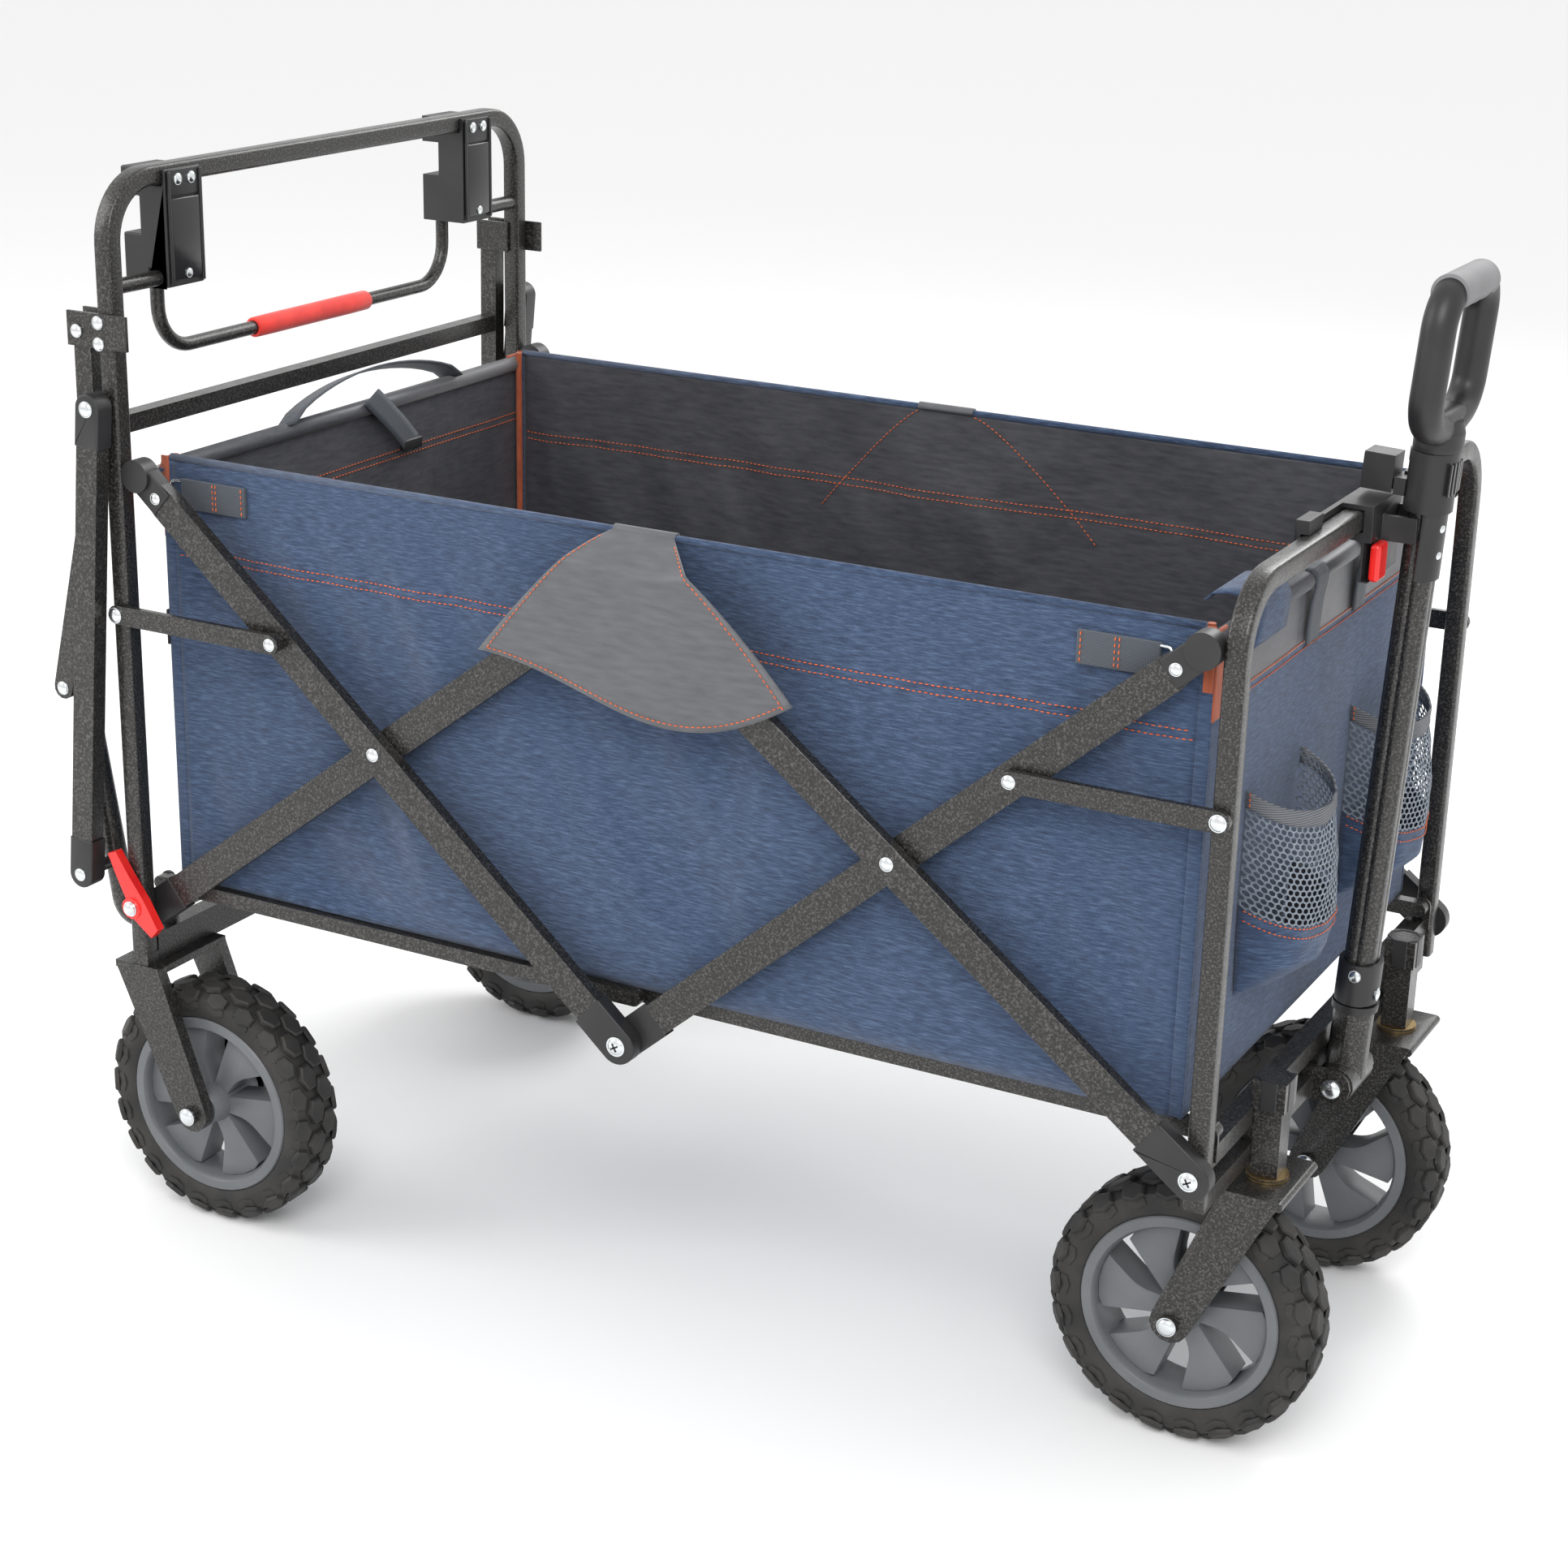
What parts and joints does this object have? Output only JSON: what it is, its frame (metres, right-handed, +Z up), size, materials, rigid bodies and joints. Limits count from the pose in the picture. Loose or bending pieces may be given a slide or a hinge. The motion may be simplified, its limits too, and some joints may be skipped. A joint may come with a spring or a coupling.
{
  "type": "folding wagon",
  "caption": "Folding fabric wagon with a steel scissor frame, swivel front casters, telescopic pull handle and fold-out push handle.",
  "frame": {"origin": "on the ground, midway between the front and rear posts and between the sides", "axes": "+X forwards to the pull handle, +Y to the wagon's left, +Z up"},
  "size_m": [1.0238, 0.598, 0.847],
  "materials": {
    "painted_steel": "hammered grey enamel",
    "black_plastic": "moulded, fine texture",
    "red_plastic": "glossy",
    "red_foam": "soft foam sleeve",
    "grey_plastic": "moulded satin",
    "grey_rubber": "soft overmould",
    "tyre": "matt black, lugged",
    "denim": "blue twill outside, dark grey lining inside",
    "mesh": "open hexagonal mesh on denim"
  },
  "bodies": {
    "rear_frame": {"rear_frame": "painted_steel", "rear_axle_beam": "painted_steel", "latch_housing_right": "black_plastic", "latch_housing_left": "black_plastic", "push_bracket_right": "painted_steel", "push_bracket_left": "painted_steel"},
    "rear_wheel_right": {"rear_tyre_right": "tyre", "rear_rim_right": "grey_plastic"},
    "rear_wheel_left": {"rear_tyre_left": "tyre", "rear_rim_left": "grey_plastic"},
    "release_bar": {"release_bar": "painted_steel", "release_sleeve": "red_foam"},
    "latch_right": {"latch_lever_right": "red_plastic"},
    "latch_left": {"latch_lever_left": "red_plastic"},
    "push_arms": {"push_arms": "painted_steel"},
    "push_links": {"push_link_right": "painted_steel", "push_link_left": "painted_steel"},
    "push_handle": {"push_handle": "painted_steel"},
    "rear_lower_bars": {"rear_lower_bar_right": "painted_steel", "rear_lower_bar_left": "painted_steel"},
    "rear_upper_bars": {"rear_upper_bar_right": "painted_steel", "rear_upper_bar_left": "painted_steel", "rear_hub_rod": "painted_steel"},
    "front_upper_bars": {"front_upper_bar_right": "painted_steel", "front_upper_bar_left": "painted_steel", "front_hub_rod": "painted_steel"},
    "front_lower_bars": {"front_lower_bar_right": "painted_steel", "front_lower_bar_left": "painted_steel"},
    "front_frame": {"front_frame": "painted_steel", "front_beam": "painted_steel", "catch_body": "black_plastic"},
    "rear_links": {"rear_link_right": "painted_steel", "rear_link_left": "painted_steel"},
    "front_links": {"front_link_right": "painted_steel", "front_link_left": "painted_steel"},
    "rear_floor": {"rear_floor_rails": "painted_steel"},
    "front_floor": {"front_floor_rails": "painted_steel"},
    "tub_rear": {"tub_rear_wall": "denim", "tub_side_right": "denim", "tub_side_left": "denim", "tub_floor": "denim"},
    "tub_front": {"tub_front_wall": "denim", "cup_pocket_right": "mesh", "cup_pocket_left": "mesh"},
    "caster_right": {"caster_fork_right": "painted_steel"},
    "caster_left": {"caster_fork_left": "painted_steel"},
    "front_wheel_right": {"front_tyre_right": "tyre", "front_rim_right": "grey_plastic"},
    "front_wheel_left": {"front_tyre_left": "tyre", "front_rim_left": "grey_plastic"},
    "pull_handle": {"handle_base": "painted_steel", "handle_outer_tube": "painted_steel", "handle_lower_collar": "black_plastic", "handle_upper_collar": "black_plastic"},
    "handle_lever": {"handle_lever": "black_plastic"},
    "handle_slide": {"handle_inner_tube": "painted_steel", "grip_body": "black_plastic", "grip_pad": "grey_rubber"},
    "catch_button": {"catch_button": "red_plastic"}
  },
  "joints": [
    {"name": "fold", "type": "hinge", "parent": "rear_frame", "child": "rear_lower_bars", "pos_m": [-0.443, 0, 0.263], "axis": [0, -1, 0], "range_deg": [0, 40], "deforming": ["tub_side_right", "tub_side_left", "tub_floor", "cup_pocket_right", "cup_pocket_left"]},
    {"name": "rear_cross_pivot", "type": "hinge", "parent": "rear_lower_bars", "child": "rear_upper_bars", "pos_m": [-0.21254, 0, 0.4404], "axis": [0, -1, 0], "range_deg": [-80, 0]},
    {"name": "bottom_pivot", "type": "hinge", "parent": "rear_upper_bars", "child": "front_upper_bars", "pos_m": [0, 0, 0.2555], "axis": [0, -1, 0], "range_deg": [0, 80]},
    {"name": "front_cross_pivot", "type": "hinge", "parent": "front_upper_bars", "child": "front_lower_bars", "pos_m": [0.21254, 0, 0.4404], "axis": [0, -1, 0], "range_deg": [-80, 0]},
    {"name": "front_foot_pivot", "type": "hinge", "parent": "front_lower_bars", "child": "front_frame", "pos_m": [0.443, 0, 0.263], "axis": [0, -1, 0], "range_deg": [0, 40]},
    {"name": "rear_link_pivot", "type": "hinge", "parent": "rear_frame", "child": "rear_links", "pos_m": [-0.443, 0, 0.514], "axis": [0, -1, 0], "range_deg": [0, 73]},
    {"name": "front_link_pivot", "type": "hinge", "parent": "front_frame", "child": "front_links", "pos_m": [0.443, 0, 0.514], "axis": [0, -1, 0], "range_deg": [-73, 0]},
    {"name": "rear_rail_pivot", "type": "hinge", "parent": "rear_frame", "child": "rear_floor", "pos_m": [-0.443, 0, 0.283], "axis": [0, -1, 0], "range_deg": [0, 77]},
    {"name": "front_rail_pivot", "type": "hinge", "parent": "front_frame", "child": "front_floor", "pos_m": [0.443, 0, 0.283], "axis": [0, -1, 0], "range_deg": [-77, 0]},
    {"name": "rear_hub", "type": "hinge", "parent": "rear_upper_bars", "child": "tub_rear", "pos_m": [-0.423, 0, 0.6235], "axis": [0, -1, 0], "range_deg": [0, 40]},
    {"name": "front_hub", "type": "hinge", "parent": "front_upper_bars", "child": "tub_front", "pos_m": [0.423, 0, 0.6235], "axis": [0, -1, 0], "range_deg": [-40, 0]},
    {"name": "push_arm_pivot", "type": "hinge", "parent": "rear_frame", "child": "push_arms", "pos_m": [-0.467, 0, 0.7296], "axis": [0, 1, 0], "range_deg": [0, 180]},
    {"name": "push_link_pivot", "type": "hinge", "parent": "rear_frame", "child": "push_links", "pos_m": [-0.449, 0, 0.675], "axis": [0, 1, 0], "range_deg": [0, 156]},
    {"name": "push_handle_pivot", "type": "hinge", "parent": "push_arms", "child": "push_handle", "pos_m": [-0.5065, 0, 0.443], "axis": [0, 1, 0], "range_deg": [-75, 0]},
    {"name": "release", "type": "slide", "parent": "rear_frame", "child": "release_bar", "axis": [0, 0, 1], "range_m": [0, 0.014], "stiffness_N_per_m": 300, "springref_m": -0.004},
    {"name": "latch_right_pivot", "type": "hinge", "parent": "rear_frame", "child": "latch_right", "pos_m": [-0.44, 0, 0.275], "axis": [0, 1, 0], "range_deg": [0, 40], "stiffness_Nm_per_rad": 0.05, "springref_deg": -17.19},
    {"name": "latch_left_pivot", "type": "hinge", "parent": "rear_frame", "child": "latch_left", "pos_m": [-0.44, 0, 0.275], "axis": [0, 1, 0], "range_deg": [0, 40], "stiffness_Nm_per_rad": 0.05, "springref_deg": -17.19},
    {"name": "rear_wheel_right_spin", "type": "hinge", "parent": "rear_frame", "child": "rear_wheel_right", "pos_m": [-0.398, 0, 0.1015], "axis": [0, 1, 0], "continuous": true},
    {"name": "rear_wheel_left_spin", "type": "hinge", "parent": "rear_frame", "child": "rear_wheel_left", "pos_m": [-0.398, 0, 0.1015], "axis": [0, 1, 0], "continuous": true},
    {"name": "caster_right_swivel", "type": "hinge", "parent": "front_frame", "child": "caster_right", "pos_m": [0.4565, -0.1485, 0.1], "axis": [0, 0, 1], "continuous": true},
    {"name": "front_wheel_right_spin", "type": "hinge", "parent": "caster_right", "child": "front_wheel_right", "pos_m": [0.40575, 0, 0.1015], "axis": [0, 1, 0], "continuous": true},
    {"name": "caster_left_swivel", "type": "hinge", "parent": "front_frame", "child": "caster_left", "pos_m": [0.4565, 0.1485, 0.1], "axis": [0, 0, 1], "continuous": true},
    {"name": "front_wheel_left_spin", "type": "hinge", "parent": "caster_left", "child": "front_wheel_left", "pos_m": [0.40575, 0, 0.1015], "axis": [0, 1, 0], "continuous": true},
    {"name": "handle_tilt", "type": "hinge", "parent": "front_frame", "child": "pull_handle", "pos_m": [0.462, 0, 0.236], "axis": [0, 1, 0], "range_deg": [0, 90]},
    {"name": "handle_telescope", "type": "slide", "parent": "pull_handle", "child": "handle_slide", "axis": [0.0471, 0, 0.9989], "range_m": [0, 0.28]},
    {"name": "handle_lever_pivot", "type": "hinge", "parent": "pull_handle", "child": "handle_lever", "pos_m": [0.46408, 0, 0.6834], "axis": [0, 1, 0], "range_deg": [0, 18]},
    {"name": "catch_button_press", "type": "slide", "parent": "front_frame", "child": "catch_button", "axis": [-1, 0, 0], "range_m": [0, 0.004], "stiffness_N_per_m": 600, "springref_m": -0.002}
  ],
  "couplings": [
    {"joint": "rear_cross_pivot", "follows": "fold", "ratio": -2},
    {"joint": "bottom_pivot", "follows": "fold", "ratio": 2},
    {"joint": "front_cross_pivot", "follows": "fold", "ratio": -2},
    {"joint": "front_foot_pivot", "follows": "fold", "ratio": 1},
    {"joint": "rear_link_pivot", "follows": "fold", "ratio": 1.8154},
    {"joint": "front_link_pivot", "follows": "fold", "ratio": -1.8154},
    {"joint": "rear_rail_pivot", "follows": "fold", "ratio": 1.9011},
    {"joint": "front_rail_pivot", "follows": "fold", "ratio": -1.9011},
    {"joint": "rear_hub", "follows": "fold", "ratio": 1},
    {"joint": "front_hub", "follows": "fold", "ratio": -1},
    {"joint": "push_link_pivot", "follows": "push_arm_pivot", "ratio": 0.8653},
    {"joint": "push_handle_pivot", "follows": "push_arm_pivot", "ratio": -0.4118}
  ]
}
